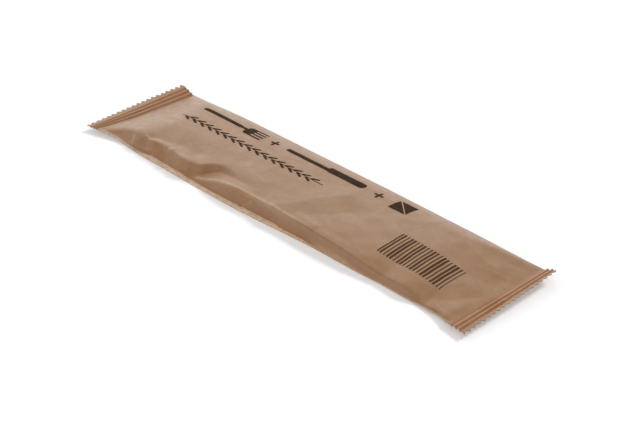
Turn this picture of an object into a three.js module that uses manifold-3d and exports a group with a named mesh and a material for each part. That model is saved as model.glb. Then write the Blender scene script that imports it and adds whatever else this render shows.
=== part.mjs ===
// A sealed paper pack of single-use cutlery: one sheet of brown kraft paper folded to a flat tube around a
// knife, a fork and a napkin, crimped shut at both ends and cut there with a zig-zag knife.
// X runs along the pack, Y across it and Z up from the table. The origin is under the middle of the pack.
// The near side is at -Y, the far side at +Y, and the left and right seals are at -X and +X.
import * as THREE from "three";
import { mergeVertices } from "three/addons/utils/BufferGeometryUtils.js";
import Module from "manifold-3d";

const { lerp, smoothstep } = THREE.MathUtils;

// Driving dimensions in millimetres

// Outline
const packLength = 215; // over the tips of the teeth
const packWidth = 51; // across the end seals, where the tube lies flat
const packHeight = 7.2; // table to the crown of the top panel

// End seals
const sealWidth = 6.8; // inner seal line to the tips of the teeth
const sealThickness = 0.3; // the plies of paper pressed together, also along the folds
const sealLift = 2.2; // table to the middle of the seal
const toothPitch = 2.55;
const toothDepth = 1.2;
const crimpPitch = 1.3;
const crimpHeight = 0.7; // groove to ridge
const crimpStart = 0.4; // inner seal line to the first groove
const bareBand = 1.2; // least stretch between the crimp and the roots of the teeth
const cornerCurl = 2.4; // rise of the far corner of each seal
const curlWidth = 22; // how far the curl reaches in from the far fold

// Top panel over the contents
const crownDrop = 0.8; // fall of the top panel from the crown to the contents' sides
const crownOffset = 2; // the crown lies this far towards the far side
const contentsWidth = 41; // side to side of what the top panel lies on
const leftRun = 21; // length of the slope from the left seal up to the contents
const rightRun = 30; // and from the right seal
const panelRounding = 1.3; // softness of the folds around the top panel

// Near side: a narrow lip on the table, then a steep flank up to the top panel
const foldWidth = 0.5; // where there is no lip, the paper still lies double along its fold
const lipWidth = 2.7;
const lipLift = 0.45; // table to the middle of the lip's fold
const lipRise = 0.5; // fold to the crease at the foot of the flank
const lipMargin = 51; // stretch before the right seal that has no lip
const lipFade = 34; // length over which the lip runs out
const flankRunLeft = 3.2; // width of the full flank seen from above, where the contents stand back
const flankRunRight = 1.3; // and where they fill the pack
const flankStep = 75; // place from the left seal where the one turns into the other
const flankStepRun = 34;
const nearDrawLeft = 0.7; // how far the near fold is drawn in, left and right
const nearDrawRight = 2;
const nearDrawRun = 24; // distance from the seals over which it is drawn in
const nearFallLeft = 26; // distance from the seals over which the near fold comes down to the table
const nearFallRight = 70;
const cornerFall = 3; // drop of the top panel towards its near right corner
const cornerFallWidth = 12;
const cornerFallReach = 77; // place from the right seal where that drop sets in
const cornerFallRun = 46; // length over which it grows

// Hollow where the near edge of the top panel is pushed in
const dentPlace = 68; // from the left seal to the middle of the hollow
const dentLength = 25;
const dentWidth = 9;
const dentDepth = 1.3;

// Far side: one gentle flank down to a fold that hangs above the table
const farLift = 4.1; // table to the middle of the far fold
const farRun = 7; // width of the far flank seen from above
const farDraw = 0.9; // how far the far fold is drawn in
const farDrawRun = 40;

// Underside
const underRun = 17; // length of the slope from each seal down to the flat bottom panel
const underFarRun = 8; // width of the slope down from the far fold
const underNearRun = 5; // and from the near fold, where that stands off the table
const finWidth = 10; // lengthwise seam, folded flat against the bottom panel
const finThickness = 0.3;

// Fineness of the facets
const bodyRows = 42;
const lipColumns = 3;
const flankColumns = 5;
const farColumns = 7;
const columnEase = 5; // stretch from the seals over which the columns turn from even to following the folds

// Derived sizes
const bodyHalf = packLength / 2 - sealWidth; // the inner seal lines are at plus and minus this
const halfWidth = packWidth / 2;
const sealHalf = sealThickness / 2;
const crimpRibs = Math.floor((sealWidth - toothDepth - bareBand - crimpStart) / crimpPitch);
const teeth = Math.round(packWidth / toothPitch);
const columns = 2 * teeth; // a column of facets for each side of each tooth

const kraftPaper = new THREE.MeshStandardMaterial({ color: 0xaa8e76, roughness: 0.8, metalness: 0 });

// The smaller of two heights, rounded where they cross
function softMin(a, b, rounding) {
  const overlap = Math.max(rounding - Math.abs(a - b), 0);
  return Math.min(a, b) - (overlap * overlap) / (4 * rounding);
}

// Height of the top panel before it turns down at the near flank
function panelHeight(x, y, nearY, farY, farZ) {
  const fromLeft = bodyHalf + x;
  const fromRight = bodyHalf - x;
  const sealTop = sealLift + sealHalf;
  const crown = packHeight - crownDrop * ((y - crownOffset) / (contentsWidth / 2)) ** 2;
  const leftSlope = lerp(sealTop, packHeight, fromLeft / leftRun);
  const rightSlope = lerp(sealTop, packHeight, fromRight / rightRun);
  const farSlope = lerp(farZ + sealHalf, packHeight, (farY - y) / farRun);
  const slopes = [leftSlope, rightSlope, farSlope];
  const height = slopes.reduce((low, slope) => softMin(low, slope, panelRounding), crown);

  const fallAlong = 1 - smoothstep(fromRight, cornerFallReach - cornerFallRun, cornerFallReach);
  const fallAcross = 1 - smoothstep(y, nearY, nearY + cornerFallWidth);
  const fallEnd = smoothstep(fromRight, 0, rightRun);
  return height - cornerFall * fallAlong * fallAcross * fallEnd;
}

// The lines along which the wrapper is folded, at one station of the body
function foldsAt(x) {
  const fromLeft = bodyHalf + x;
  const fromRight = bodyHalf - x;
  const fromSeal = Math.min(fromLeft, fromRight);
  const toRight = smoothstep(x, -bodyHalf, bodyHalf);
  const nearDraw = lerp(nearDrawLeft, nearDrawRight, toRight) * smoothstep(fromSeal, 0, nearDrawRun);
  const fallen = smoothstep(fromLeft, 0, nearFallLeft) * smoothstep(fromRight, 0, nearFallRight);
  const farDrawn = smoothstep(fromSeal, 0, farDrawRun);
  const lip = lerp(foldWidth, lipWidth, smoothstep(fromRight, lipMargin, lipMargin + lipFade));
  const stepped = smoothstep(fromLeft, flankStep - flankStepRun / 2, flankStep + flankStepRun / 2);
  const fullRun = lerp(flankRunLeft, flankRunRight, stepped);

  const nearY = -halfWidth + nearDraw;
  const nearZ = lerp(sealLift, lipLift, fallen);
  const farY = halfWidth - farDraw * farDrawn;
  const farZ = lerp(sealLift, farLift, farDrawn);
  const creaseY = nearY + lip;
  const creaseZ = nearZ + sealHalf + (lipRise * fallen * lip) / lipWidth;
  const fullRise = packHeight - creaseZ;
  const rise = panelHeight(x, creaseY + fullRun, nearY, farY, farZ) - creaseZ;
  const ridgeY = creaseY + Math.max((fullRun * rise) / fullRise, foldWidth);
  return { nearY, nearZ, creaseY, creaseZ, ridgeY, farY, farZ };
}

// Depth of the hollow in the near edge of the top panel
function dentAt(x, y, ridgeY) {
  const along = (x + bodyHalf - dentPlace) / (dentLength / 2);
  const across = (y - ridgeY - dentWidth / 4) / (dentWidth / 2);
  return dentDepth * Math.max(1 - along ** 2, 0) * Math.max(1 - across ** 2, 0);
}

// Height of the top of the wrapper over a place on the body: lip, flank, then top panel
function topHeight(x, y, folds) {
  const { nearY, nearZ, creaseY, creaseZ, ridgeY, farY, farZ } = folds;
  if (y <= creaseY) return lerp(nearZ + sealHalf, creaseZ, (y - nearY) / (creaseY - nearY));
  const edge = Math.max(y, ridgeY);
  const panel = panelHeight(x, edge, nearY, farY, farZ) - dentAt(x, edge, ridgeY);
  return y < ridgeY ? lerp(creaseZ, panel, (y - creaseY) / (ridgeY - creaseY)) : panel;
}

// Height of the bottom of the wrapper: flat on the table's side, sloping up to the seals and the folds
function underHeight(x, y, folds) {
  const { nearY, nearZ, farY, farZ } = folds;
  const endSlope = (sealLift - sealHalf) * (1 - (bodyHalf - Math.abs(x)) / underRun);
  const farSlope = (farZ - sealHalf) * (1 - (farY - y) / underFarRun);
  const nearSlope = (nearZ - sealHalf) * (1 - (y - nearY) / underNearRun);
  return Math.max(finThickness, endSlope, farSlope, nearSlope);
}

// Rise of a seal at its far corner
function curlAt(out, y) {
  const towardsFar = smoothstep(y, halfWidth - curlWidth, halfWidth);
  return cornerCurl * towardsFar ** 2 * (out / sealWidth);
}

// Stations of a seal: the distance out from the inner seal line, and the height of the crimp there
const sealStations = [];
for (let i = 0; i < 2 * crimpRibs; i += 1) {
  const side = i % 2 === 0 ? -1 : 1;
  sealStations.push({ out: crimpStart + (i * crimpPitch) / 2, crimp: (side * crimpHeight) / 2 });
}
sealStations.push({ out: crimpStart + crimpRibs * crimpPitch, crimp: 0 });
sealStations.push({ out: sealWidth, crimp: 0 });

// Stations of the body, from one inner seal line to the other
const bodyStations = [];
for (let i = 0; i <= bodyRows; i += 1) {
  bodyStations.push({ x: lerp(-bodyHalf, bodyHalf, i / bodyRows), out: 0, crimp: 0 });
}

const stations = [
  ...sealStations.map(({ out, crimp }) => ({ x: -bodyHalf - out, out, crimp })).reverse(),
  ...bodyStations,
  ...sealStations.map(({ out, crimp }) => ({ x: bodyHalf + out, out, crimp })),
];

// Place across the pack of one column of facets: even in the seals, along the folds in the body
function columnPlace(column, x, folds) {
  const { nearY, creaseY, ridgeY, farY } = folds;
  const ridgeColumn = lipColumns + flankColumns;
  const farColumn = columns - farColumns;
  const farRidgeY = farY - farRun;
  let folded = lerp(ridgeY, farRidgeY, (column - ridgeColumn) / (farColumn - ridgeColumn));
  if (column <= lipColumns) {
    folded = lerp(nearY, creaseY, column / lipColumns);
  } else if (column <= ridgeColumn) {
    folded = lerp(creaseY, ridgeY, (column - lipColumns) / flankColumns);
  } else if (column >= farColumn) {
    folded = lerp(farRidgeY, farY, (column - farColumn) / farColumns);
  }
  const even = lerp(-halfWidth, halfWidth, column / columns);
  return lerp(even, folded, smoothstep(bodyHalf - Math.abs(x), 0, columnEase));
}

// Place of one corner of the wrapper's facets, on its top or its bottom
function wrapperPoint(row, column, isTop) {
  const { x, out, crimp } = stations[row];
  if (out > 0) {
    const y = lerp(-halfWidth, halfWidth, column / columns);
    const isRoot = out === sealWidth && column % 2 === 1;
    const cutBack = isRoot ? Math.sign(x) * toothDepth : 0;
    const middle = sealLift + crimp + curlAt(out, y);
    return new THREE.Vector3(x - cutBack, y, isTop ? middle + sealHalf : middle - sealHalf);
  }
  const folds = foldsAt(x);
  const y = columnPlace(column, x, folds);
  const under = underHeight(x, y, folds);
  const top = Math.max(topHeight(x, y, folds), under + sealThickness);
  return new THREE.Vector3(x, y, isTop ? top : under);
}

// Place of one corner of the lengthwise seam, a flat strip that follows the bottom panel up to the seals
function finPoint(row, column, isTop) {
  const { x } = bodyStations[row];
  const y = (column - 0.5) * finWidth;
  const under = underHeight(x, y, foldsAt(x));
  return new THREE.Vector3(x, y, isTop ? under + sealHalf : under - finThickness);
}

// A closed block of facets whose corners are placed by a function of their row, column and side
function gridBlock(rows, cols, place) {
  const block = new THREE.BoxGeometry(1, 1, 1, rows, cols, 1);
  block.deleteAttribute("normal");
  block.deleteAttribute("uv");
  const geometry = mergeVertices(block);
  const corners = geometry.getAttribute("position");
  for (let i = 0; i < corners.count; i += 1) {
    const row = Math.round((corners.getX(i) + 0.5) * rows);
    const column = Math.round((corners.getY(i) + 0.5) * cols);
    const point = place(row, column, corners.getZ(i) > 0);
    corners.setXYZ(i, point.x, point.y, point.z);
  }
  return geometry;
}

const wasm = await Module();
wasm.setup();

function toSolid(geometry) {
  return new wasm.Manifold(
    new wasm.Mesh({
      numProp: 3,
      vertProperties: geometry.getAttribute("position").array,
      triVerts: new Uint32Array(geometry.index.array),
    }),
  );
}

function toGeometry(solid) {
  const mesh = solid.getMesh();
  const geometry = new THREE.BufferGeometry();
  geometry.setAttribute("position", new THREE.BufferAttribute(mesh.vertProperties, 3));
  geometry.setIndex(new THREE.BufferAttribute(mesh.triVerts, 1));
  geometry.computeVertexNormals();
  return geometry;
}

const wrapper = toSolid(gridBlock(stations.length - 1, columns, wrapperPoint));
const fin = toSolid(gridBlock(bodyRows, 1, finPoint));

const sealedPack = new THREE.Mesh(toGeometry(wrapper.add(fin)), kraftPaper);
sealedPack.name = "sealed_pack";

const cutleryKit = new THREE.Group();
cutleryKit.add(sealedPack);

export default cutleryKit;
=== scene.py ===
"""Looks of a flat kraft-paper cutlery pack, built around its packed CAD frame.

X runs along the pack, Y across it and Z up from the table. The near side is at -Y, and the
left and right seals are at -X and +X. Properties hold metres, as Blender does; the fold
formulas work in millimetres.
"""

import functools
import math
from bisect import bisect_left
from typing import NamedTuple

import bmesh
import bpy
from bpy.props import FloatProperty, FloatVectorProperty, IntProperty, PointerProperty
from bpy.types import Operator, Panel, PropertyGroup
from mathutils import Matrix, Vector, noise
from mathutils.geometry import intersect_point_line


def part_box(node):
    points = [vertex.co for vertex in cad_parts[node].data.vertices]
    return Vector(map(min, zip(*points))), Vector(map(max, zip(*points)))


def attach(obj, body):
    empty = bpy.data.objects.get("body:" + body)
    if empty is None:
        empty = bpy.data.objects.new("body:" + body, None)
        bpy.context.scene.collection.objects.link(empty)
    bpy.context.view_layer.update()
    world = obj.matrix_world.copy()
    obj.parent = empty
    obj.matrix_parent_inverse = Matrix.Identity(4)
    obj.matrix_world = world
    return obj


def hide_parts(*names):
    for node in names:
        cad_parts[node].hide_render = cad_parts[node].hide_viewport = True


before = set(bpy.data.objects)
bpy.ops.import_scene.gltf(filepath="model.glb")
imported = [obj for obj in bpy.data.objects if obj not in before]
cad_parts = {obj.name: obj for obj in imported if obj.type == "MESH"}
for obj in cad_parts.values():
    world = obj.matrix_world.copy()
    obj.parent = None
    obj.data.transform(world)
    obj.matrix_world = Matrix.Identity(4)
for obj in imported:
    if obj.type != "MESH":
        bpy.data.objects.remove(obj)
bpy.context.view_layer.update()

bl_info = {
    "name": "Kraft Cutlery Pack",
    "version": (1, 0, 0),
    "blender": (4, 5, 0),
    "location": "View3D > Sidebar > Cutlery Pack",
    "description": "Builds a sealed kraft-paper cutlery pack, its print and a plain stage",
    "category": "Add Mesh",
}

MM = 0.001
CAD_NODE = "sealed_pack"
PAPER_MATERIAL = "kraft_paper_printed"
# Attribute of painted light and shade on the paper: above 0 it is painted pale as light, below 0 dark
# as shade
PAINTED_LIGHT = "painted_light_and_shade"

pack_low, pack_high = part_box(CAD_NODE)
pack_size = pack_high - pack_low


# Properties


def length(name, description, millimetres):
    """A length property whose default is given in millimetres."""
    return FloatProperty(
        name=name,
        description=description,
        default=millimetres * MM,
        precision=5,
        subtype="DISTANCE",
        unit="LENGTH",
    )


def colour(name, description, red, green, blue):
    """A colour property, in linear light."""
    return FloatVectorProperty(
        name=name,
        description=description,
        default=(red, green, blue, 1.0),
        size=4,
        min=0.0,
        max=1.0,
        subtype="COLOR",
    )


def share(name, description, value, largest=1.0):
    """A plain number without a unit."""
    return FloatProperty(name=name, description=description, default=value, min=0.0, max=largest)


def count(name, description, value, smallest=2):
    """A whole number of rows or columns."""
    return IntProperty(name=name, description=description, default=value, min=smallest)


class PackSizes(PropertyGroup):
    """Sizes of the folded paper sleeve."""

    pack_length: length("Pack length", "Over the tips of the teeth", pack_size.x / MM)
    pack_width: length("Pack width", "Across the end seals", pack_size.y / MM)
    pack_height: length("Pack height", "Table to the crown of the top panel", pack_size.z / MM)

    seal_width: length("Seal width", "Inner seal line to the tips of the teeth", 7.6)
    seal_thickness: length("Seal thickness", "Plies of paper pressed together", 0.3)
    seal_lift: length("Seal lift", "Table to the middle of the seal", 2.2)
    seal_rise_near: length("Near seal rise", "Rise of the cut edge at the near fold", 0.25)
    seal_rise_far: length("Far seal rise", "The same at the far fold", 3.15)
    seal_shift: length("Seal shift", "How far the inner left seal line is drawn in", 0.5)
    seal_skew: length("Seal skew", "How far that line runs out at the near fold", 2.7)
    seal_skew_run: length("Skew length", "Length of the body that is drawn out with it", 20)
    seal_draw: length("Seal draw", "How far the inner near corner of the right seal is drawn in", 0.9)
    seal_flare: length("Seal flare", "How far the near corner of the left seal spreads", 1.3)
    seal_taper_left: length("Left seal taper", "How much narrower it is cut at the far fold", 0.6)
    seal_taper_right: length("Right seal taper", "The same for the right seal", 0.9)
    tooth_pitch: length("Tooth pitch", "Distance between the zig-zag teeth", 2.615)
    tooth_depth: length("Tooth depth", "Root to tip of a zig-zag tooth", 1.05)
    tooth_wobble: length("Tooth wobble", "How uneven the cut is", 0.35)
    crimp_pitch: length("Crimp pitch", "Distance between the crimped grooves", 2.0)
    crimp_height: length("Crimp height", "Groove to ridge", 0.7)
    crimp_start_left: length("Left crimp start", "Inner seal line to the first groove, left", 0.2)
    crimp_start_right: length("Right crimp start", "The same on the right", 1.05)
    crimp_press: length("Crimp press", "Extra depth of the grooves over the lengthwise seam", 0.35)

    crown_drop: length("Crown drop", "Fall of the top panel from crown to sides", 0.8)
    crown_offset: length("Crown offset", "How far the crown lies towards the far side", 2)
    contents_width: length("Contents width", "Side to side of what the top panel lies on", 41)
    left_run: length("Left slope", "Length of the slope up from the left seal", 21)
    right_run: length("Right slope", "Length of the slope up from the right seal", 30)
    panel_rounding: length("Panel rounding", "Softness of the folds around the top panel", 1.3)
    crumple_wide: length("Wide crumple", "Height of the wide crumples of the paper", 0.18)
    crumple_wide_right: length("Right wide crumple", "The same towards the right end", 0.24)
    crumple_fine: length("Fine crumple", "Depth of the small crumples of the paper", 0.15)
    crumple_fine_right: length("Right fine crumple", "The same towards the right end", 0.3)

    lip_full: length("Full lip", "Width at which the near lip has its full rise", 2.2)
    lip_wobble: length("Lip wobble", "How much the width of the lip varies", 0.5)
    lip_rise: length("Lip rise", "Fold to the crease at the foot of the flank", 0.5)
    ridge_rounding: length("Ridge rounding", "Softness of the near edge of the top panel", 0.6)
    ridge_rounding_right: length("Right ridge rounding", "The same towards the right end", 1.2)
    ridge_rounding_corner: length("Corner ridge rounding", "The same at the left seal", 2.5)
    step_rounding: length("Step rounding", "Softness of the shoulder of the smooth panel", 1.0)

    far_lift: length("Far lift", "Table to the middle of the far fold", 4.1)
    far_run: length("Far flank", "Width of the far flank", 7)
    far_draw: length("Far draw", "How far the far fold is drawn in", 0.9)
    far_draw_right: length("Right far draw", "The same towards the right end", 1.5)
    far_draw_run: length("Far draw length", "Distance from the seals to the full draw", 40)

    under_run: length("End rise", "Length of the slope from each seal to the bottom panel", 17)
    under_far_run: length("Far rise", "Width of the slope down from the far fold", 8)
    under_near_run: length("Near rise", "Width of the slope down from the near fold", 5)
    fin_width: length("Seam width", "Width of the lengthwise seam under the pack", 10)
    fin_place: length("Seam place", "Middle of the lengthwise seam across the pack", -6)
    fin_thickness: length("Seam thickness", "Thickness of the lengthwise seam", 0.3)


class PackFineness(PropertyGroup):
    """How finely the meshes are divided."""

    body_rows: count("Body rows", "Rows between the seals", 280, 20)
    seal_rows: count("Seal rows", "Rows across each seal", 36, 8)
    tooth_columns: count("Tooth columns", "Columns to each tooth", 6)
    lip_columns: count("Lip columns", "Columns across the lip", 9)
    flank_columns: count("Flank columns", "Columns across the flank", 16)
    ledge_columns: count("Ledge columns", "Columns across the ledge", 10)
    step_columns: count("Step columns", "Columns across the step", 10)
    far_columns: count("Far columns", "Columns across the far flank", 18)
    fin_columns: count("Seam columns", "Columns across the lengthwise seam", 12)


class PaintedLightAndShade(PropertyGroup):
    """How far the paper is painted pale as light and highlight along its folds, or painted dark as
    shade in its crease and grooves.
    """

    # Painted light on the lip against the flank's shade on it, painted highlights on the lip edge, near
    # fold, ridge and shoulder, and painted light on the near left corner
    lip: share("Lip", "Rubbing of the near lip", 0.8)
    lip_edge: share("Lip edge", "Rubbing that is added at the very edge of the lip", 0.2)
    near_edge: share("Near edge", "Rubbing of the near fold where it has no lip", 0.6)
    ridge: share("Ridge", "Rubbing of the ridge over the near flank", 0.35)
    shoulder: share("Shoulder", "Rubbing of the shoulder of the smooth panel", 0.2)
    corner: share("Corner", "Rubbing of the near left corner", 0.2)
    # Painted shade in the crease behind the lip
    crease: share("Crease", "Dark pressing of the crease behind the lip", 0.2)
    # Painted light on the flat bands of the seals, painted highlights on the crimp ridges and painted
    # shade in the crimp grooves
    left_band: share("Left band", "Rubbing of the flat band of the left seal", 0.3)
    right_band: share("Right band", "The same on the right", 0.05)
    crimp_ridge: share("Crimp ridge", "Rubbing of the ridges of the seals", 0.35)
    crimp_groove: share("Crimp groove", "Dark pressing of the grooves of the seals", 0.55)


class PaperLook(PropertyGroup):
    """Colours and finish of the kraft paper, its painted light and shade, and its print."""

    kraft: colour("Kraft", "Body colour of the paper", 0.331, 0.196, 0.107)
    kraft_dark: colour("Dark kraft", "Darker cloud of the pulp", 0.308, 0.173, 0.089)
    # Pressed is painted shade in the crimped grooves and in the crease behind the lip, over paper
    # pressed darker in the grooves
    pressed: colour("Pressed", "Paper pressed hard in the crimped grooves", 0.36, 0.14, 0.067)
    # Pale is painted light and highlight on the lip, the folds, the ridges, the near left corner and
    # the seal bands
    pale: colour("Pale", "Paper rubbed pale along the folds", 0.70, 0.535, 0.385)
    fibre: colour("Fibre", "Pale fibres in the pulp", 0.60, 0.43, 0.29)
    fleck: colour("Fleck", "Dark bits of bark in the pulp", 0.15, 0.075, 0.035)
    ink: colour("Ink", "Dark brown print", 0.034, 0.013, 0.002)
    fibre_share: share("Fibre share", "How strongly the fibres show", 0.22)
    fleck_share: share("Fleck share", "How strongly the flecks show", 0.5)
    roughness: share("Roughness", "Of the bare paper", 0.42)
    roughness_change: share("Roughness change", "How much it varies over the sheet", 0.06)
    ink_roughness: share("Ink roughness", "How much rougher the print is than the paper", 0.5)
    grain_depth: length("Grain depth", "Relief of the grain and the fibres", 0.06)
    grain_strength: share("Grain strength", "How strongly that relief shows", 0.35)


class StageLook(PropertyGroup):
    """Floor and light."""

    floor: colour("Floor", "Colour that the floor bounces onto the pack", 0.6, 0.6, 0.6)
    floor_shade: colour("Floor shade", "Colour of the floor under the shadow", 0.94, 0.97, 1.0)
    floor_lift: share("Floor lift", "White added to the floor as the camera sees it", 0.09)
    sky: share("Sky", "Soft light from all round", 0.26, 2.0)
    backdrop: share("Backdrop", "White that the paper mirrors behind the pack", 2.07, 3.0)
    room: share("Room", "Dim room that it mirrors in front of the pack", 0.05, 3.0)
    key: share("Key", "Strength of the lamp behind the pack", 1.52, 5.0)
    side: share("Side", "Strength of the weak lamp left of the pack", 0.87, 5.0)
    fill: share("Fill", "Strength of the lamp in front of the pack", 1.57, 5.0)
    fill_tint: colour("Fill tint", "Slightly warm colour of that lamp", 1.0, 0.885, 0.80)


# Folds

# The near side of the pack, station by station along X, in millimetres. Each station has the
# place and height of the near fold, the width of the lip beside it, then three folds further
# up: the ridge over the flank, the foot of the step behind it, and the shoulder where the
# smooth top panel begins. The ridge and the foot have a place across the pack and a drop below
# the smooth panel, the shoulder only a place.
NEAR_FOLDS = (
    (-99.9, -25.5, 2.2, 0.25, -24.9, 0.0, -24.6, 0.0, -24.3),
    (-95.0, -24.2, 2.0, 0.3, -23.3, 0.85, -22.6, 0.4, -22.0),
    (-90.0, -23.6, 1.3, 0.3, -22.1, 2.1, -20.8, 1.05, -19.6),
    (-84.0, -23.4, 0.55, 0.5, -21.2, 3.25, -19.4, 1.65, -17.7),
    (-79.0, -23.9, 0.25, 1.4, -21.3, 3.5, -20.4, 1.75, -19.4),
    (-73.0, -24.3, 0.2, 2.0, -21.3, 3.5, -20.5, 1.75, -19.5),
    (-65.0, -24.3, 0.2, 2.5, -20.6, 3.55, -19.5, 1.75, -18.4),
    (-59.0, -24.4, 0.2, 2.5, -21.0, 3.5, -20.2, 1.75, -19.4),
    (-53.0, -24.4, 0.2, 2.4, -21.5, 3.5, -20.9, 1.75, -20.4),
    (-46.0, -24.6, 0.2, 2.1, -21.8, 3.5, -21.1, 1.75, -20.3),
    (-41.0, -24.6, 0.2, 2.0, -22.2, 4.4, -20.2, 2.85, -18.7),
    (-38.5, -24.6, 0.2, 1.9, -22.2, 3.9, -17.5, 3.1, -16.2),
    (-36.5, -24.6, 0.2, 1.9, -22.0, 3.5, -15.5, 2.6, -13.9),
    (-33.0, -24.6, 0.2, 1.9, -21.5, 2.5, -14.3, 2.2, -12.5),
    (-28.0, -24.6, 0.2, 1.9, -21.0, 1.5, -14.5, 1.65, -12.3),
    (-22.0, -24.7, 0.2, 2.0, -20.7, 0.7, -15.2, 0.85, -12.9),
    (-16.0, -24.6, 0.2, 2.2, -20.4, 0.1, -15.5, 0.3, -13.5),
    (-9.0, -24.5, 0.2, 2.4, -20.0, 0.35, -16.0, 0.05, -12.0),
    (2.0, -23.9, 0.2, 2.3, -20.0, 0.3, -16.0, 0.0, -12.0),
    (15.0, -23.1, 0.2, 1.5, -20.2, 0.2, -18.0, 0.05, -13.0),
    (23.0, -22.6, 0.2, 1.3, -20.3, 0.3, -18.5, 0.05, -13.0),
    (31.0, -22.3, 0.2, 0.7, -20.8, 0.45, -19.0, 0.05, -13.0),
    (44.0, -22.3, 0.25, 0.4, -21.0, 1.1, -18.7, 0.5, -12.0),
    (54.0, -22.3, 0.3, 0.3, -21.2, 1.75, -18.2, 0.9, -8.0),
    (64.0, -21.9, 0.4, 0.3, -21.2, 2.7, -15.4, 1.6, 0.0),
    (74.0, -22.1, 0.5, 0.3, -21.3, 2.1, -14.1, 0.6, -6.0),
    (85.0, -22.3, 0.8, 0.3, -20.4, 2.5, -12.8, 0.9, -5.0),
    (93.0, -22.7, 1.25, 0.3, -22.1, 0.8, -17.0, 0.1, -10.0),
    (99.9, -24.6, 2.2, 0.25, -24.1, 0.0, -20.0, 0.0, -12.0),
)

# Soft folds that the contents press into the paper. Each has a line of places in millimetres,
# its height over the smooth form, where a valley is below it, and the width of each slope.
SOFT_FOLDS = (
    # Bend across the top panel beside the hollow
    (((-24, -9.0, 6.8), (-11, -10.2, 6.8), (-4, -13.5, 6.8), (5, -18.6, 6.6)), 0.35, 7.0),
    # Shoulder in the middle of the top panel, and the shallow hollow right of it
    (((5, -17.0, 6.8), (10, -10.0, 6.9), (15, 0.0, 7.1), (19, 6.0, 7.1)), 0.4, 9.0),
    (((17, -15.0, 6.8), (24, -8.0, 6.9), (30, 0.0, 7.0)), -0.35, 8.0),
    # Crease near the ridge right of it
    (((16, -16.5, 6.7), (21, -16.7, 6.6), (26, -18.0, 6.5)), 0.35, 3.0),
    # Long dent towards the bars
    (((27, -1.0, 7.0), (42, -4.0, 6.9), (50, -6.0, 6.8)), -0.3, 7.0),
    # Rim of the left ridge, the valley behind it and the crown of the panel there
    (
        ((-83, -17.6, 5.4), (-78, -19.0, 6.0), (-73, -19.1, 6.2), (-66, -18.2, 6.3), (-59, -19.1, 6.2)),
        0.6,
        3.0,
    ),
    (((-59, -19.1, 6.2), (-46, -20.0, 6.2)), 0.5, 3.0),
    (((-74, -16.5, 6.4), (-66, -14.8, 6.5), (-58, -12.6, 6.7), (-49, -13.6, 6.7)), -0.75, 9.0),
    (((-76, -4.0, 6.9), (-60, -3.0, 7.1), (-47, -4.0, 7.1)), 0.15, 8.0),
    # Rim of the right ridge
    (((-30, -20.6, 4.2), (-22, -20.4, 5.6), (-16, -20.0, 6.3), (4, -20.2, 6.2)), 0.4, 4.5),
    (((4, -20.2, 6.2), (15, -20.3, 6.2), (31, -20.3, 6.1), (50, -20.6, 5.0)), 0.5, 4.5),
    # Facets of the left flank
    (((-84, -18.4, 5.0), (-80.5, -21.8, 1.6)), 0.5, 5.0),
    (((-74.5, -18.6, 5.8), (-74, -19.9, 3.5), (-73, -21.7, 1.6)), -0.6, 5.0),
    (((-63.5, -19.2, 6.0), (-66, -20.5, 3.4), (-73, -21.2, 2.2)), 0.5, 4.0),
    (((-62, -20.2, 5.4), (-61.5, -21.6, 1.8)), -0.4, 4.0),
    (((-50.5, -20.7, 5.4), (-50, -22.2, 1.8)), 0.4, 5.0),
    (((-43, -19.5, 5.6), (-42.5, -22.0, 2.0)), -0.4, 4.0),
    (((-79, -22.1, 1.3), (-75, -21.8, 1.9), (-70, -21.2, 2.4)), 0.25, 1.0),
    # Pinch in the right flank
    (((-12, -22.3, 1.4), (-8.5, -21.0, 4.2)), -0.8, 1.5),
    (((-9.5, -22.4, 1.8), (-6, -21.8, 3.4)), 0.5, 2.5),
    (((24, -22.0, 1.6), (28, -20.4, 5.0)), -0.3, 2.0),
    # Facets of the right end
    (((74, -19.0, 4.4), (84, -12.0, 4.0), (88, -4.0, 4.2)), 0.3, 6.0),
    (((82, -21.5, 2.4), (92, -14.0, 3.4), (97, -6.0, 2.9)), -0.3, 5.0),
    (((96.5, -22.0, 2.9), (97, -12.0, 2.9)), 0.5, 5.0),
    (((78, 4.0, 5.9), (88, 1.0, 4.5), (98, 4.0, 2.9)), -0.3, 6.0),
    (((74, 14.0, 6.3), (86, 10.0, 4.8), (97, 14.0, 3.0)), 0.3, 6.0),
)

# Stretches along the pack over which a value changes, in millimetres
FAR_DRAW_STRETCH = (20.0, 60.0)
LEFT_RIDGE_STRETCH = (-84.0, -76.0)
RIGHT_RIDGE_STRETCH = (0.0, 40.0)
CRUMPLE_STRETCH = (40.0, 95.0)
LIP_LIGHT_STRETCH = (-86.0, -68.0)
CORNER_LIGHT_STRETCH = (-82.0, -74.0)
EDGE_HIGHLIGHT_STRETCH = (30.0, 60.0)
RIDGE_HIGHLIGHT_STRETCH = (5.0, 35.0)

# Distances over which folds and painted light and shade fade in from a seal, and from the far fold, in
# millimetres
SEAL_FADE = 6.0
FAR_FADE = 5.0

LIP_WAVE = 7.0  # Length of one wave of the lip, in millimetres
TOOTH_WAVE = 4.0  # Columns to one wave of the uneven cut
FLAT_BAND_START = 2.25  # Crimp pitches from the first groove to the flat band of a seal
SKEW_CURVE = 1.8  # How late across the pack the left seal line runs out
FOLD_CURVE = 1.5  # How pointed the soft folds are
LIP_WIDTHS = (0.3, 1.5)  # Widths between which a lip begins to show, in millimetres
STEEP = (0.3, 0.6)  # Slopes between which a ledge or a step begins to count as steep


class Folds(NamedTuple):
    """Where the paper is folded at one station of the body, in millimetres."""

    near_y: float
    near_z: float
    crease_y: float
    crease_z: float
    ridge_y: float
    ridge_drop: float
    foot_y: float
    foot_drop: float
    shoulder_y: float
    far_y: float
    far_z: float


def lerp(start, end, place):
    return start + (end - start) * place


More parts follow.
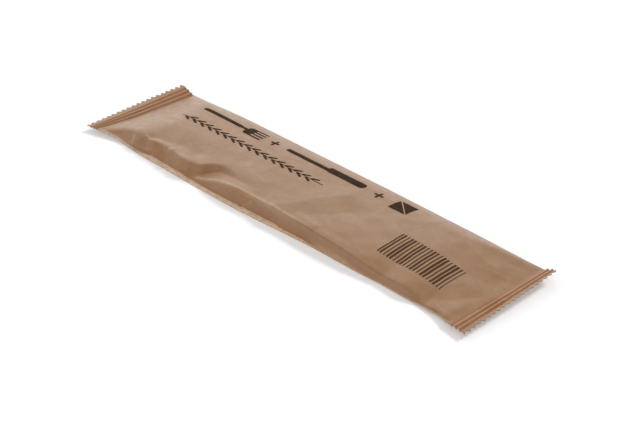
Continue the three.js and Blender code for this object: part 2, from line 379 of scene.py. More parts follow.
def smoothstep(value, low, high):
    place = min(max((value - low) / (high - low), 0.0), 1.0)
    return place * place * (3.0 - 2.0 * place)


def fade(value, start, end):
    """1 up to the start of a range, falling to 0 at its end."""
    return 1.0 - smoothstep(value, start, end)


def band(value, middle, core, reach):
    """1 around the middle of a band, falling to 0 at its reach to both sides."""
    return fade(abs(value - middle), core, reach)


def soft_min(first, second, rounding):
    """The smaller of two heights, rounded where they cross."""
    overlap = max(rounding - abs(first - second), 0.0)
    return min(first, second) - overlap * overlap / (4.0 * rounding)


def distance_to(place, start, end):
    """Distance from a place to a straight stretch of a line."""
    nearest, along = intersect_point_line(place, start, end)
    if along <= 0.0:
        nearest = start
    elif along >= 1.0:
        nearest = end
    return (place - nearest).length


class Sleeve:
    """The folded form of the paper sleeve, in millimetres."""

    def __init__(self, scene):
        for name in PackSizes.__annotations__:
            setattr(self, name, getattr(scene.pack_sizes, name) / MM)
        self.painted = scene.paper_wear
        self.fineness = fineness = scene.pack_fineness
        self.body_half = self.pack_length / 2 - self.seal_width
        self.half_width = self.pack_width / 2
        self.seal_half = self.seal_thickness / 2
        half_teeth = round(2.0 * self.pack_width / self.tooth_pitch)
        self.columns = half_teeth * fineness.tooth_columns // 2
        near_columns = fineness.lip_columns + fineness.flank_columns
        near_columns += fineness.ledge_columns + fineness.step_columns
        self.panel_columns = self.columns - near_columns - fineness.far_columns
        self.rows = fineness.body_rows + 2 * fineness.seal_rows

    def skew_at(self, y):
        """How far the inner line of the left seal runs out, across the pack."""
        return self.seal_skew * max(-y / self.half_width, 0.0) ** SKEW_CURVE - self.seal_shift

    def out_at(self, place):
        """Distance out from the inner line of the nearest seal, below zero in the body."""
        out = abs(place.x) - self.body_half
        if place.x > 0.0:
            return out
        skew = self.skew_at(place.y)
        return (out - skew) / (1.0 - skew / self.seal_width)

    def near_end(self, x, out=0.0):
        """Place across the pack of the near end of a seal; the left one spreads outwards."""
        if x > 0.0:
            return self.seal_draw * (1.0 - out / self.seal_width) - self.half_width
        return -self.half_width - self.seal_flare * out / self.seal_width

    def panel_height(self, x, y, far_y, far_z):
        """Height of the smooth top panel before it turns down at the near flank."""
        from_left = self.body_half + x
        from_right = self.body_half - x
        seal_top = self.seal_lift + self.seal_half
        off_crown = (y - self.crown_offset) / (self.contents_width / 2)
        height = self.pack_height - self.crown_drop * off_crown**2
        slopes = (
            lerp(seal_top, self.pack_height, from_left / self.left_run),
            lerp(seal_top, self.pack_height, from_right / self.right_run),
            lerp(far_z + self.seal_half, self.pack_height, (far_y - y) / self.far_run),
        )
        for slope in slopes:
            height = soft_min(height, slope, self.panel_rounding)
        return height

    @functools.cache
    def folds_at(self, x):
        """The folds at one station of the body."""
        far_drawn = smoothstep(self.body_half - abs(x), 0.0, self.far_draw_run)
        far_draw = lerp(self.far_draw, self.far_draw_right, smoothstep(x, *FAR_DRAW_STRETCH))
        last = len(NEAR_FOLDS) - 1
        after = bisect_left(NEAR_FOLDS, x, lo=1, hi=last, key=lambda station: station[0])
        before = NEAR_FOLDS[after - 1]
        along = (x - before[0]) / (NEAR_FOLDS[after][0] - before[0])
        pairs = zip(before[1:], NEAR_FOLDS[after][1:])
        near_y, near_z, lip, *upper = [lerp(start, end, along) for start, end in pairs]
        fullness = min(lip / self.lip_full, 1.0)
        wobble = self.lip_wobble * noise.fractal(Vector((x / LIP_WAVE, 3.7, 0.0)), 1.0, 2.3, 3)
        return Folds(
            near_y,
            near_z,
            near_y + lip + wobble * fullness**2,
            near_z + self.seal_half + self.lip_rise * fullness,
            *upper,
            self.half_width - far_draw * far_drawn,
            lerp(self.seal_lift, self.far_lift, far_drawn),
        )

    def drop_at(self, y, folds):
        """Drop of the near edge of the top panel: a ledge, then a step up to the shoulder."""
        if y <= folds.ridge_y:
            return folds.ridge_drop
        if y <= folds.foot_y:
            across = (y - folds.ridge_y) / (folds.foot_y - folds.ridge_y)
            return lerp(folds.ridge_drop, folds.foot_drop, across)
        rounding = min(self.step_rounding, folds.foot_drop)
        if rounding <= 0.0:
            return 0.0
        step = folds.foot_drop * (folds.shoulder_y - y) / (folds.shoulder_y - folds.foot_y)
        return -soft_min(-step, 0.0, rounding)

    def top_height(self, x, y, folds):
        """Height of the top of the paper: lip, flank, then top panel."""
        if y <= folds.crease_y:
            across = (y - folds.near_y) / (folds.crease_y - folds.near_y)
            return lerp(folds.near_z + self.seal_half, folds.crease_z, across)
        panel = self.panel_height(x, y, folds.far_y, folds.far_z) - self.drop_at(y, folds)
        ridge = self.panel_height(x, folds.ridge_y, folds.far_y, folds.far_z) - folds.ridge_drop
        across = (y - folds.crease_y) / (folds.ridge_y - folds.crease_y)
        flank = lerp(folds.crease_z, ridge, across)
        from_corner = smoothstep(x, *LEFT_RIDGE_STRETCH)
        towards_right = smoothstep(x, *RIGHT_RIDGE_STRETCH)
        left_rounding = lerp(self.ridge_rounding_corner, self.ridge_rounding, from_corner)
        rounding = lerp(left_rounding, self.ridge_rounding_right, towards_right)
        return max(soft_min(flank, panel, rounding), min(folds.crease_z, panel))

    def under_height(self, x, y, folds):
        """Height of the bottom of the paper: flat, sloping up to the seals and the folds."""
        from_seal = self.body_half - abs(x)
        from_near = y - folds.near_y
        from_far = folds.far_y - y
        flat = self.fin_thickness * smoothstep(from_near, 0.5, self.under_near_run)
        end_slope = (self.seal_lift - self.seal_half) * (1.0 - from_seal / self.under_run)
        far_slope = (folds.far_z - self.seal_half) * (1.0 - from_far / self.under_far_run)
        near_slope = (folds.near_z - self.seal_half) * (1.0 - from_near / self.under_near_run)
        return max(flat, end_slope, far_slope, near_slope)

    def column_place(self, column, x, folds):
        """Place across the pack of one column: even in the seals, along the folds in the body."""
        fineness = self.fineness
        strips = (
            (fineness.lip_columns, folds.crease_y),
            (fineness.flank_columns, folds.ridge_y),
            (fineness.ledge_columns, folds.foot_y),
            (fineness.step_columns, folds.shoulder_y),
            (self.panel_columns, folds.far_y - self.far_run),
            (fineness.far_columns, folds.far_y),
        )
        even = lerp(self.near_end(x), self.half_width, column / self.columns)
        start = folds.near_y
        for columns, end in strips:
            if column <= columns:
                break
            column -= columns
            start = end
        folded = lerp(start, end, column / columns)
        return lerp(even, folded, smoothstep(self.body_half - abs(x), 0.0, 5.0))

    def crimp_span(self, side):
        """First groove of a seal and the start of its flat band, from the inner seal line."""
        start = self.crimp_start_left if side < 0 else self.crimp_start_right
        return start, start + FLAT_BAND_START * self.crimp_pitch

    def crimp_at(self, side, out, y):
        """Height of the crimp, a wave of grooves and ridges across the seal, then a flat band."""
        start, end = self.crimp_span(side)
        wave = -out / start
        if out > start:
            wave = -math.cos(2.0 * math.pi * (min(out, end) - start) / self.crimp_pitch)
        half_seam = self.fin_width / 2
        pressed = band(y, self.fin_place, half_seam - 1.0, half_seam + 1.0)
        height = self.crimp_height + self.crimp_press * pressed
        return wave * height / 2

    def cut_edge(self, column, side):
        """Distance from the inner seal line to the zig-zag cut at one column."""
        phase = (column / self.fineness.tooth_columns) % 1.0
        pointed = 1.0 - abs(2.0 * phase - 1.0)
        rounded = 0.5 - 0.5 * math.cos(2.0 * math.pi * phase)
        notch = self.tooth_depth * (pointed + rounded) / 2
        wobble = self.tooth_wobble * noise.noise(Vector((column / TOOTH_WAVE, side * 5.3, 1.9)))
        far_taper = self.seal_taper_left if side < 0 else self.seal_taper_right
        taper = far_taper * (column / self.columns) ** 3
        return self.seal_width - notch - taper + min(wobble, 0.0)

    def seal_point(self, side, step, column, is_top):
        """Place of one corner of an end seal, a share of the way out from its inner line."""
        across = column / self.columns
        out = step * self.seal_width
        flat = self.crimp_span(side)[1]
        if out > flat:
            beyond = (out - flat) / (self.seal_width - flat)
            out = lerp(flat, self.cut_edge(column, side), beyond)
        y = lerp(self.near_end(side, out), self.half_width, across)
        rise = lerp(self.seal_rise_near, self.seal_rise_far, across) * out / self.seal_width
        middle = self.seal_lift + self.crimp_at(side, out, y) + rise
        z = middle + self.seal_half if is_top else middle - self.seal_half
        skew = self.skew_at(y) * (1.0 - out / self.seal_width) if side < 0 else 0.0
        return Vector((side * (self.body_half + out + skew), y, z))

    def body_point(self, x, column, is_top):
        """Place of one corner of the sleeve between the seals."""
        folds = self.folds_at(x)
        y = self.column_place(column, x, folds)
        height = self.under_height(x, y, folds)
        if is_top:
            height = max(self.top_height(x, y, folds), height + self.seal_thickness)
        skew = self.skew_at(y) * fade(self.body_half + x, 0.0, self.seal_skew_run)
        return Vector((x - skew, y, height))

    def point(self, row, column, is_top):
        """Place of one corner of the sleeve's grid."""
        seal_rows = self.fineness.seal_rows
        body_rows = self.fineness.body_rows
        body_row = row - seal_rows
        if body_row < 0:
            return self.seal_point(-1, -body_row / seal_rows, column, is_top)
        if body_row > body_rows:
            return self.seal_point(1, (body_row - body_rows) / seal_rows, column, is_top)
        x = lerp(-self.body_half, self.body_half, body_row / body_rows)
        return self.body_point(x, column, is_top)

    def soft_fold_at(self, place):
        """Height of the soft folds at a place on the top."""
        height = 0.0
        for line, fold_height, slope in SOFT_FOLDS:
            if min(line)[0] - slope > place.x or max(line)[0] + slope < place.x:
                continue
            stretches = zip(line, line[1:])
            apart = min(distance_to(place, Vector(a), Vector(b)) for a, b in stretches)
            height += fold_height * max(1.0 - apart / slope, 0.0) ** FOLD_CURVE
        return height

    def crumple_at(self, place):
        """Height of the uneven crumples of the paper, which grow towards the right end."""
        towards_right = smoothstep(place.x, *CRUMPLE_STRETCH)
        wide = noise.noise(Vector((place.x / 24.0, place.y / 15.0, place.z / 12.0)))
        fine = abs(noise.noise(Vector((place.x / 9.0 + 7.0, place.y / 7.0, place.z / 6.0))))
        wide_height = lerp(self.crumple_wide, self.crumple_wide_right, towards_right)
        fine_depth = lerp(self.crumple_fine, self.crumple_fine_right, towards_right)
        return wide_height * wide - fine_depth * fine

    def painted_light_at(self, place):
        """How pale the paper is painted as light, up to 1, and how dark it is painted as shade, below
        0.
        """
        out = self.out_at(place)
        return self.seal_painted_light(place, out) if out > 0.0 else self.body_painted_light(place, out)

    def seal_painted_light(self, place, out):
        """Painted light and shade of an end seal: painted shade in the grooves, painted highlights on
        the ridges and painted light on the flat band.
        """
        flat = self.crimp_span(place.x)[1]
        flat_band = self.painted.left_band if place.x < 0.0 else self.painted.right_band
        flat_band *= smoothstep(out, flat - 0.3, flat + 0.3)
        crimp = 2.0 * self.crimp_at(place.x, out, place.y) / self.crimp_height
        if crimp > 0.0:
            return max(flat_band, self.painted.crimp_ridge * crimp)
        return flat_band + self.painted.crimp_groove * crimp

    def body_painted_light(self, place, out):
        """Painted light and shade of the body: painted light on the lip and the near left corner,
        painted highlights on the near edge, ridge and shoulder, and painted shade in the crease.
        """
        painted = self.painted
        folds = self.folds_at(max(place.x, -self.body_half))
        from_fold = place.y - folds.near_y
        lip_width = folds.crease_y - folds.near_y
        has_lip = smoothstep(lip_width, *LIP_WIDTHS)
        lip = has_lip * fade(from_fold, lip_width - 0.5, lip_width)
        lip *= smoothstep(place.x, *LIP_LIGHT_STRETCH)
        crease = has_lip * band(from_fold, lip_width + 0.2, 0.1, 0.5)
        corner = smoothstep(-out, 2.0, 8.0) * fade(place.x, *CORNER_LIGHT_STRETCH)
        corner *= fade(place.y, folds.shoulder_y - 1.5, folds.shoulder_y)
        edge_width = lerp(1.5, 0.5, smoothstep(place.x, *EDGE_HIGHLIGHT_STRETCH))
        edge = fade(from_fold, 0.2 * edge_width, edge_width) * smoothstep(-out, 0.0, SEAL_FADE)
        ledge = (folds.ridge_drop - folds.foot_drop) / (folds.foot_y - folds.ridge_y)
        ridge = band(place.y, folds.ridge_y + 0.6, 0.3, 1.5)
        ridge *= fade(ledge, *STEEP) * fade(place.x, *RIDGE_HIGHLIGHT_STRETCH)
        step = folds.foot_drop / (folds.shoulder_y - folds.foot_y)
        shoulder = band(place.y, folds.shoulder_y + 0.4, 0.2, 1.2) * smoothstep(step, *STEEP)
        highlighted = max(
            painted.lip * lip + painted.lip_edge * edge,
            painted.near_edge * edge,
            painted.ridge * ridge,
            painted.shoulder * shoulder,
            painted.corner * corner,
        )
        return highlighted - painted.crease * crease

    def fin_point(self, row, column):
        """Place of one corner of the lengthwise seam, which follows the bottom panel."""
        x = lerp(-self.body_half, self.body_half, row / self.fineness.body_rows)
        y = self.fin_place + self.fin_width * (column / self.fineness.fin_columns - 0.5)
        return Vector((x, y, self.under_height(x, y, self.folds_at(x))))


# Meshes

SHARP_ANGLE = math.radians(50)


def moved_grid(rows, columns, place):
    """A grid of quads whose corners a function of row and column places, in millimetres."""
    mesh = bmesh.new()
    bmesh.ops.create_grid(mesh, x_segments=rows, y_segments=columns, size=0.5)
    for vertex in mesh.verts:
        row = round((vertex.co.x + 0.5) * rows)
        column = round((vertex.co.y + 0.5) * columns)
        vertex.co = place(row, column) * MM
    return mesh


def add_piece(name, mesh, material):
    """Links a finished mesh as a smooth-shaded piece that rides with the pack."""
    for face in mesh.faces:
        face.smooth = True
    data = bpy.data.meshes.new(name)
    mesh.to_mesh(data)
    mesh.free()
    data.set_sharp_from_angle(angle=SHARP_ANGLE)
    data.materials.append(material)
    piece = bpy.data.objects.new(name, data)
    bpy.context.scene.collection.objects.link(piece)
    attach(piece, "root")
    return piece


def make_wrapper(sleeve):
    """The sheet folded to a flat tube: a top, an underside and the rim that joins them."""
    rows, columns = sleeve.rows, sleeve.columns
    mesh = moved_grid(rows, columns, lambda row, column: sleeve.point(row, column, True))
    crease_top(mesh, sleeve)
    under = moved_grid(rows, columns, lambda row, column: sleeve.point(row, column, False))
    bmesh.ops.reverse_faces(under, faces=under.faces)
    data = bpy.data.meshes.new("underside")
    under.to_mesh(data)
    under.free()
    mesh.from_mesh(data)
    bpy.data.meshes.remove(data)
    rims = [edge for edge in mesh.edges if edge.is_boundary]
    bmesh.ops.bridge_loops(mesh, edges=rims)
    return mesh


def crease_top(mesh, sleeve):
    """Presses the soft folds and crumples into the top of the sleeve, along its normals."""
    mesh.normal_update()
    painted = mesh.verts.layers.float.new(PAINTED_LIGHT)
    for vertex in mesh.verts:
        place = vertex.co / MM
        inside = smoothstep(-sleeve.out_at(place), 0.0, SEAL_FADE)
        far_side = smoothstep(sleeve.half_width - place.y, 0.0, FAR_FADE)
        above_lip = smoothstep(place.z, 1.0, 3.0)
        folded = sleeve.soft_fold_at(place) + sleeve.crumple_at(place) * above_lip
        vertex.co += vertex.normal * folded * inside * far_side * MM
        # Painted light and shade of the paper, for the material
        vertex[painted] = sleeve.painted_light_at(place)


def make_fin(sleeve):
    """The lengthwise seam under the pack, folded flat."""
    fineness = sleeve.fineness
    mesh = moved_grid(fineness.body_rows, fineness.fin_columns, sleeve.fin_point)
    extruded = bmesh.ops.extrude_face_region(mesh, geom=mesh.faces[:])
    moved = [item for item in extruded["geom"] if isinstance(item, bmesh.types.BMVert)]
    bmesh.ops.translate(mesh, verts=moved, vec=(0.0, 0.0, -sleeve.fin_thickness * MM))
    bmesh.ops.recalc_face_normals(mesh, faces=mesh.faces)
    return mesh


# Materials


class Net:
    """Short ways to add nodes to one tree and to link them."""

    def __init__(self, tree):
        self.tree = tree

    def add(self, kind, **settings):
        node = self.tree.nodes.new(kind)
        for name, value in settings.items():
            setattr(node, name, value)
        return node

    def feed(self, socket, value):
        """Links a socket to an input, or sets the input to a plain value."""
        if isinstance(value, bpy.types.NodeSocket):
            self.tree.links.new(value, socket)
        else:
            socket.default_value = value

    def math(self, operation, *values):
        node = self.add("ShaderNodeMath", operation=operation)
        for socket, value in zip(node.inputs, values):
            self.feed(socket, value)
        return node.outputs[0]

    def vector(self, operation, *values, output="Vector"):
        node = self.add("ShaderNodeVectorMath", operation=operation)
        for socket, value in zip(node.inputs, values):
            self.feed(socket, value)
        return node.outputs[output]

    def ramp(self, value, low, high, start=0.0, end=1.0, shape="SMOOTHSTEP"):
        """Maps a value from one range to another."""
        node = self.add("ShaderNodeMapRange", interpolation_type=shape)
        self.feed(node.inputs["Value"], value)
        self.feed(node.inputs["From Min"], low)
        self.feed(node.inputs["From Max"], high)
        self.feed(node.inputs["To Min"], start)
        self.feed(node.inputs["To Max"], end)
        return node.outputs["Result"]

    def mix(self, factor, first, second):
        """Mixes two colours."""
        node = self.add("ShaderNodeMix", data_type="RGBA")
        self.feed(node.inputs["Factor"], factor)
        self.feed(node.inputs[6], first)
        self.feed(node.inputs[7], second)
        return node.outputs[2]

    def blend(self, factor, first, second):
        """Mixes two plain values."""
        node = self.add("ShaderNodeMix")
        self.feed(node.inputs["Factor"], factor)
        self.feed(node.inputs["A"], first)
        self.feed(node.inputs["B"], second)
        return node.outputs["Result"]

    def cloud(self, place, scale, detail=2.0):
        """Soft noise whose scale is in cells to the millimetre."""
        node = self.add("ShaderNodeTexNoise")
        self.feed(node.inputs["Vector"], place)
        self.feed(node.inputs["Scale"], scale)
        self.feed(node.inputs["Detail"], detail)
        return node.outputs["Fac"]

    def stretched(self, place, angle, scale):
        """Coordinates turned about Z and scaled, for streaks."""
        node = self.add("ShaderNodeMapping")
        self.feed(node.inputs["Vector"], place)
        self.feed(node.inputs["Rotation"], (0.0, 0.0, math.radians(angle)))
        self.feed(node.inputs["Scale"], scale)
        return node.outputs["Vector"]


def rounded_bar_group():
    """A node group that masks a bar with rounded ends, turned about its middle."""
    group = bpy.data.node_groups.new("rounded_bar", "ShaderNodeTree")
    sockets = (
        ("Place", "NodeSocketVector"),
        ("Middle", "NodeSocketVector"),
        ("Half size", "NodeSocketVector"),
        ("Turn", "NodeSocketFloat"),
        ("Rounding", "NodeSocketFloat"),
    )
    for name, kind in sockets:
        group.interface.new_socket(name, in_out="INPUT", socket_type=kind)
    group.interface.new_socket("Mask", in_out="OUTPUT", socket_type="NodeSocketFloat")
    net = Net(group)
    given = net.add("NodeGroupInput").outputs
    turned = net.add("ShaderNodeVectorRotate", rotation_type="Z_AXIS")
    net.feed(turned.inputs["Vector"], net.vector("SUBTRACT", given["Place"], given["Middle"]))
    net.feed(turned.inputs["Angle"], given["Turn"])
    flat = net.vector("MULTIPLY", turned.outputs["Vector"], (1.0, 1.0, 0.0))
    core = net.add("ShaderNodeCombineXYZ")
    net.feed(core.inputs["X"], given["Rounding"])
    net.feed(core.inputs["Y"], given["Rounding"])
    inner = net.vector("SUBTRACT", given["Half size"], core.outputs["Vector"])
    outside = net.vector("SUBTRACT", net.vector("ABSOLUTE", flat), inner)
    beyond = net.vector("MAXIMUM", outside, (0.0, 0.0, 0.0))
    apart = net.vector("LENGTH", beyond, output="Value")
    apart = net.math("SUBTRACT", apart, given["Rounding"])
    result = net.add("NodeGroupOutput")
    net.feed(result.inputs["Mask"], net.ramp(apart, -INK_EDGE, INK_EDGE, 1.0, 0.0))
    return group


# The generic print, in millimetres. Each bar of a sign has the place of its middle along the
# pack and off the middle of its row, its half length, its half width and its rounding.
INK_EDGE = 0.08
SIGN_ROW = 15.2
SIGNS = (
    # Fork: handle, neck, root and four tines
    (-66, 0, 12.5, 1.15, 1.1),
    (-53, 0, 4, 0.85, 0.8),
    (-48.5, 0, 2.4, 3.3, 1.7),
    (-43.8, -2.8, 4.2, 0.5, 0.5),
    (-43.8, -0.93, 4.2, 0.5, 0.5),
    (-43.8, 0.93, 4.2, 0.5, 0.5),
    (-43.8, 2.8, 4.2, 0.5, 0.5),
    # Knife: handle, blade and its square heel
    (-13, 0, 12.5, 1.15, 1.1),
    (8.5, 0.6, 10.5, 2.1, 2.0),
    (3, 1.1, 5.0, 1.6, 0.4),
    # Plus signs
    (-33, 0, 2.3, 0.6, 0.2),
    (-33, 0, 0.6, 2.3, 0.2),
    (27, 0, 2.3, 0.6, 0.2),
    (27, 0, 0.6, 2.3, 0.2),
)
NAPKIN = (40, SIGN_ROW, 4.6, 4.0, 0.5)
NAPKIN_FOLD = (40, SIGN_ROW, 7.0, 0.25, 0.05, 41.0)
SPRIG_ROW = 4.6
STEM = (-37, SPRIG_ROW, 43.5, 0.26, 0.2)
LEAF_PITCH = 5.0
LEAF_TURN = 24.0
LEAF_OFFSET = 1.05
BAR_BLOCK = (69.2, -6.3, 15.5, 7.2, 0.05)
WIDE_BAR_PITCH = 5.3
NARROW_BAR_PITCH = 1.62


def print_mask(net, place):
    """The generic print: signs of the contents, a sprig, and bars that stand for nothing."""
    group = rounded_bar_group()

    def bar(x, y, half_x, half_y, rounding, turn=0.0, at=place):
        node = net.add("ShaderNodeGroup", node_tree=group)
        net.feed(node.inputs["Place"], at)
        net.feed(node.inputs["Middle"], (x, y, 0.0))
        net.feed(node.inputs["Half size"], (half_x, half_y, 0.0))
        net.feed(node.inputs["Turn"], math.radians(turn))
        net.feed(node.inputs["Rounding"], rounding)
        return node.outputs["Mask"]

    def leaves(side):
        """Leaves on one side of the stem, repeated along it."""
        shift = side * LEAF_PITCH / 4
        along = net.math("FLOORED_MODULO", net.math("ADD", x, shift), LEAF_PITCH)
        leaf_place = net.add("ShaderNodeCombineXYZ")
        net.feed(leaf_place.inputs["X"], net.math("SUBTRACT", along, LEAF_PITCH / 2))
        net.feed(leaf_place.inputs["Y"], y)
        leaf_row = SPRIG_ROW + side * LEAF_OFFSET
        turn = -side * LEAF_TURN
        leaf = bar(0.0, leaf_row, 2.0, 0.55, 0.5, turn, leaf_place.outputs["Vector"])
        return net.math("MULTIPLY", leaf, bar(-37.5 + shift, SPRIG_ROW, 40, 2.6, 0.1))

    split = net.add("ShaderNodeSeparateXYZ")
    net.feed(split.inputs["Vector"], place)
    x, y, z = split.outputs

    signs = [bar(middle, SIGN_ROW + off, *size) for middle, off, *size in SIGNS]
    unfolded = net.math("SUBTRACT", 1.0, bar(*NAPKIN_FOLD))
    napkin = net.math("MULTIPLY", bar(*NAPKIN), unfolded)
    sprig = [leaves(-1), leaves(1), bar(*STEM)]

    wide = net.math("SINE", net.math("MULTIPLY", x, 2.0 * math.pi / WIDE_BAR_PITCH))
    narrow = net.math("SINE", net.math("MULTIPLY", x, 2.0 * math.pi / NARROW_BAR_PITCH))
    stripes = net.math("ADD", net.math("MULTIPLY", wide, 0.55), narrow)
    block = net.math("MULTIPLY", net.ramp(stripes, -0.2, 0.0), bar(*BAR_BLOCK))

    masks = [*signs, *sprig, napkin, block]
    whole = functools.reduce(lambda first, second: net.math("MAXIMUM", first, second), masks)
    on_top = net.ramp(z, 1.8, 2.2)
    return net.math("MULTIPLY", whole, on_top)


def kraft_material(look):
    """Brown kraft paper: clouded pulp, fibres, dark flecks, painted light and shade on its folds and
    grooves, and dark print.
    """
    material = bpy.data.materials.get(PAPER_MATERIAL)
    if material:
        return material
    material = bpy.data.materials.new(PAPER_MATERIAL)
    material.use_nodes = True
    net = Net(material.node_tree)
    shader = material.node_tree.nodes["Principled BSDF"]
    object_place = net.add("ShaderNodeTexCoord").outputs["Object"]
    place = net.vector("MULTIPLY", object_place, (1.0 / MM,) * 3)
    # Painted light and shade, stored on the sleeve
    painted_amount = net.add("ShaderNodeAttribute", attribute_name=PAINTED_LIGHT).outputs["Fac"]

    # Pulp: soft clouds, pale fibres in two directions, and small dark flecks
    clouds = net.ramp(net.cloud(place, 0.16, 4.0), 0.35, 0.65)
    clouded = net.mix(clouds, look.kraft, look.kraft_dark)
    along = net.cloud(net.stretched(place, 4.0, (0.35, 2.6, 2.6)), 1.0, 3.0)
    across = net.cloud(net.stretched(place, 63.0, (0.5, 2.4, 2.4)), 1.0, 3.0)
    fibres = net.math("MAXIMUM", net.ramp(along, 0.6, 0.72), net.ramp(across, 0.62, 0.74))
    fibred = net.mix(net.math("MULTIPLY", fibres, look.fibre_share), clouded, look.fibre)
    flecks = net.ramp(net.cloud(place, 1.3, 1.0), 0.27, 0.22)
    flecked = net.mix(net.math("MULTIPLY", flecks, look.fleck_share), fibred, look.fleck)

    # Painted shade, dark in the grooves and the crease; painted light and highlights, pale and a little
    # patchy along the folds
    shade_painted = net.mix(net.ramp(painted_amount, 0.0, -0.6), flecked, look.pressed)
    patches = net.ramp(net.cloud(place, 0.8, 3.0), 0.3, 0.6, 0.5, 1.0)
    highlighted = net.math("MULTIPLY", net.ramp(painted_amount, 0.0, 1.0), patches)
    paper = net.mix(highlighted, shade_painted, look.pale)

    # Print, slightly uneven in its cover and duller than the paper
    cover = net.ramp(net.cloud(place, 2.2, 2.0), 0.22, 0.42, 0.8, 1.0)
    inked = net.math("MULTIPLY", print_mask(net, place), cover)
    net.feed(shader.inputs["Base Color"], net.mix(inked, paper, look.ink))
    smoothest = look.roughness - look.roughness_change
    roughest = look.roughness + look.roughness_change
    rough = net.ramp(net.cloud(place, 0.5, 3.0), 0.3, 0.7, smoothest, roughest)
    dull = net.math("MULTIPLY", inked, look.ink_roughness)
    net.feed(shader.inputs["Roughness"], net.math("ADD", rough, dull))

    grain = net.cloud(place, 1.9, 4.0)
    bump = net.add("ShaderNodeBump")
    net.feed(bump.inputs["Strength"], look.grain_strength)
    net.feed(bump.inputs["Distance"], look.grain_depth)
    net.feed(bump.inputs["Height"], net.math("ADD", grain, net.math("MULTIPLY", fibres, 0.3)))
    net.feed(shader.inputs["Normal"], bump.outputs["Normal"])
    return material


# Operators


class PACK_OT_sleeve(Operator):
    """Builds the folded paper sleeve with its crimped end seals"""

    bl_idname = "cutlery_pack.sleeve"
    bl_label = "Paper sleeve"

    def execute(self, context):
        scene = context.scene
        mesh = make_wrapper(Sleeve(scene))
        wrapper = add_piece("kraft_wrapper", mesh, kraft_material(scene.paper_look))
        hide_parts(CAD_NODE)
        return {"FINISHED"}


class PACK_OT_fin_seam(Operator):
    """Builds the lengthwise seam, folded flat under the sleeve"""

    bl_idname = "cutlery_pack.fin_seam"
    bl_label = "Fin seam"

    def execute(self, context):
        scene = context.scene
        mesh = make_fin(Sleeve(scene))
        add_piece("fin_seam", mesh, kraft_material(scene.paper_look))
        return {"FINISHED"}


class PACK_OT_stage(Operator):
    """Lays the floor and sets up the light and the camera"""

    bl_idname = "cutlery_pack.stage"
    bl_label = "Stage"

    def execute(self, context):
        look = context.scene.stage_look
        add_floor(look)
        add_light(look)
        add_camera()
        context.scene.view_settings.view_transform = "Standard"
        return {"FINISHED"}


# Stage

FLOOR_HALF = 4.0  # Metres from the middle of the floor to its sides
FLOOR_DROP = 0.02  # Millimetres from the pack down to the floor

# The direction that each lamp lights along, and the angle over which its light spreads
KEY_DIRECTION = (-0.146, -0.741, -0.656)
SIDE_DIRECTION = (0.75, -0.25, -0.61)
FILL_DIRECTION = (-0.3, 0.81, -0.5)
KEY_SPREAD = 14.0
WIDE_SPREAD = 60.0

# Where the paper mirrors the backdrop, and how near to that direction it begins
BACKDROP_DIRECTION = (-0.9, 0.43, 0.0)
BACKDROP_START = 0.33

# The camera of the photo, for an image of 640 by 427 pixels, in degrees and millimetres
CAMERA_AZIMUTH = 46.4
CAMERA_ELEVATION = 30.49
CAMERA_LENS = 80.26
CAMERA_SENSOR = 36.0
CAMERA_TARGET = (12.8, -2.87, 0.0)
CAMERA_DISTANCE = 554.5
CAMERA_NEAREST = 10.0


def add_floor(look):
    """A plain floor that looks white to the camera and keeps the pack's shadow."""
    mesh = bmesh.new()
    bmesh.ops.create_grid(mesh, x_segments=1, y_segments=1, size=FLOOR_HALF)
    bmesh.ops.translate(mesh, verts=mesh.verts, vec=(0.0, 0.0, -FLOOR_DROP * MM))
    data = bpy.data.meshes.new("floor")
    mesh.to_mesh(data)
    mesh.free()
    data.materials.append(floor_material(look))
    floor = bpy.data.objects.new("floor", data)
    bpy.context.scene.collection.objects.link(floor)


def floor_material(look):
    """White as seen or mirrored, and greyer for the light that it bounces."""
    material = bpy.data.materials.new("white_floor")
    material.use_nodes = True
    material.node_tree.nodes.clear()
    net = Net(material.node_tree)
    bounced = net.add("ShaderNodeBsdfDiffuse")
    net.feed(bounced.inputs["Color"], look.floor)
    shaded = net.add("ShaderNodeBsdfDiffuse")
    net.feed(shaded.inputs["Color"], look.floor_shade)
    lifted = net.add("ShaderNodeEmission")
    net.feed(lifted.inputs["Strength"], look.floor_lift)
    seen = net.add("ShaderNodeAddShader")
    net.feed(seen.inputs[0], shaded.outputs["BSDF"])
    net.feed(seen.inputs[1], lifted.outputs["Emission"])
    rays = net.add("ShaderNodeLightPath").outputs
    mirrored = net.math("MAXIMUM", rays["Is Glossy Ray"], rays["Is Transmission Ray"])
    surface = net.add("ShaderNodeMixShader")
    net.feed(surface.inputs["Fac"], net.math("MAXIMUM", rays["Is Camera Ray"], mirrored))
    net.feed(surface.inputs[1], bounced.outputs["BSDF"])
    net.feed(surface.inputs[2], seen.outputs["Shader"])
    output = net.add("ShaderNodeOutputMaterial")
    net.feed(output.inputs["Surface"], surface.outputs["Shader"])
    return material


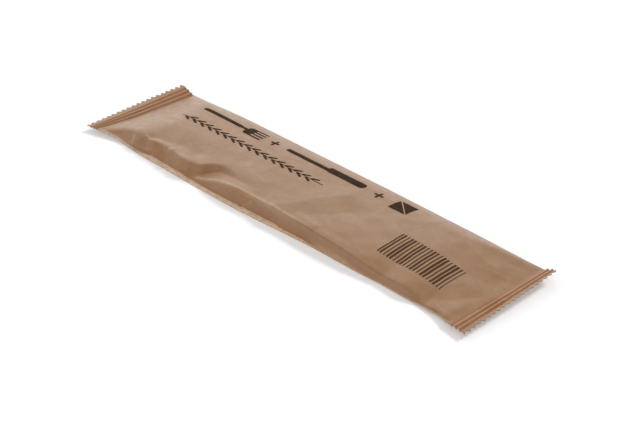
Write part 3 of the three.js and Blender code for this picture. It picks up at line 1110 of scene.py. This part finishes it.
def add_light(look):
    """Soft light from all round, a backdrop for the paper to mirror, and three far lamps."""
    world = bpy.data.worlds.new("studio")
    bpy.context.scene.world = world
    world.use_nodes = True
    net = Net(world.node_tree)
    background = world.node_tree.nodes["Background"]
    net.feed(background.inputs["Color"], (1.0, 1.0, 1.0, 1.0))
    direction = net.add("ShaderNodeTexCoord").outputs["Generated"]
    behind = net.vector("DOT_PRODUCT", direction, BACKDROP_DIRECTION, output="Value")
    backdrop = net.ramp(behind, BACKDROP_START, 1.0, look.room, look.backdrop, "LINEAR")
    rays = net.add("ShaderNodeLightPath").outputs
    mirrored = net.blend(rays["Is Glossy Ray"], look.sky, backdrop)
    seen = net.math("MAXIMUM", rays["Is Camera Ray"], rays["Is Transmission Ray"])
    net.feed(background.inputs["Strength"], net.blend(seen, mirrored, 1.0))

    add_lamp("key", look.key, KEY_SPREAD, KEY_DIRECTION)
    side = add_lamp("side", look.side, WIDE_SPREAD, SIDE_DIRECTION)
    side.data.use_shadow = False
    fill = add_lamp("fill", look.fill, WIDE_SPREAD, FILL_DIRECTION)
    fill.data.color = look.fill_tint[:3]
    fill.data.use_shadow = False


def add_lamp(name, strength, spread, direction):
    """A far lamp that lights along a direction and isn't mirrored in the paper."""
    light = bpy.data.lights.new(name, "SUN")
    light.energy = strength
    light.angle = math.radians(spread)
    lamp = bpy.data.objects.new(name, light)
    bpy.context.scene.collection.objects.link(lamp)
    lamp.visible_glossy = False
    lamp.rotation_euler = Vector(direction).to_track_quat("-Z", "Y").to_euler()
    return lamp


def add_camera():
    """The camera at the photo's view of the pack."""
    azimuth = math.radians(CAMERA_AZIMUTH)
    elevation = math.radians(CAMERA_ELEVATION)
    level = math.cos(elevation)
    back = Vector((math.sin(azimuth) * level, -math.cos(azimuth) * level, math.sin(elevation)))
    camera = bpy.data.cameras.new("photo_camera")
    camera.lens = CAMERA_LENS
    camera.sensor_width = CAMERA_SENSOR
    camera.sensor_fit = "HORIZONTAL"
    camera.clip_start = CAMERA_NEAREST * MM
    eye = bpy.data.objects.new("photo_camera", camera)
    bpy.context.scene.collection.objects.link(eye)
    eye.location = Vector(CAMERA_TARGET) * MM + back * CAMERA_DISTANCE * MM
    eye.rotation_euler = (-back).to_track_quat("-Z", "Y").to_euler()
    bpy.context.scene.camera = eye


# Add-on


class PACK_PT_sidebar(Panel):
    """Lists the steps that build the pack, then its sizes and colours"""

    bl_idname = "PACK_PT_sidebar"
    bl_label = "Cutlery Pack"
    bl_space_type = "VIEW_3D"
    bl_region_type = "UI"
    bl_category = "Cutlery Pack"

    def draw(self, context):
        for step in STEPS:
            self.layout.operator(step.bl_idname)
        for name, group in GROUPS.items():
            column = self.layout.column(align=True)
            column.label(text=group.__doc__)
            for value in group.__annotations__:
                column.prop(getattr(context.scene, name), value)


GROUPS = {
    "pack_sizes": PackSizes,
    "pack_fineness": PackFineness,
    "paper_wear": PaintedLightAndShade,
    "paper_look": PaperLook,
    "stage_look": StageLook,
}
STEPS = (PACK_OT_sleeve, PACK_OT_fin_seam, PACK_OT_stage)
CLASSES = (*GROUPS.values(), *STEPS, PACK_PT_sidebar)


def register():
    for item in CLASSES:
        bpy.utils.register_class(item)
    for name, group in GROUPS.items():
        setattr(bpy.types.Scene, name, PointerProperty(type=group))


def unregister():
    for name in GROUPS:
        delattr(bpy.types.Scene, name)
    for item in reversed(CLASSES):
        bpy.utils.unregister_class(item)


def main():
    register()
    bpy.ops.cutlery_pack.sleeve()
    bpy.ops.cutlery_pack.fin_seam()
    bpy.ops.cutlery_pack.stage()


if __name__ == "__main__":
    main()
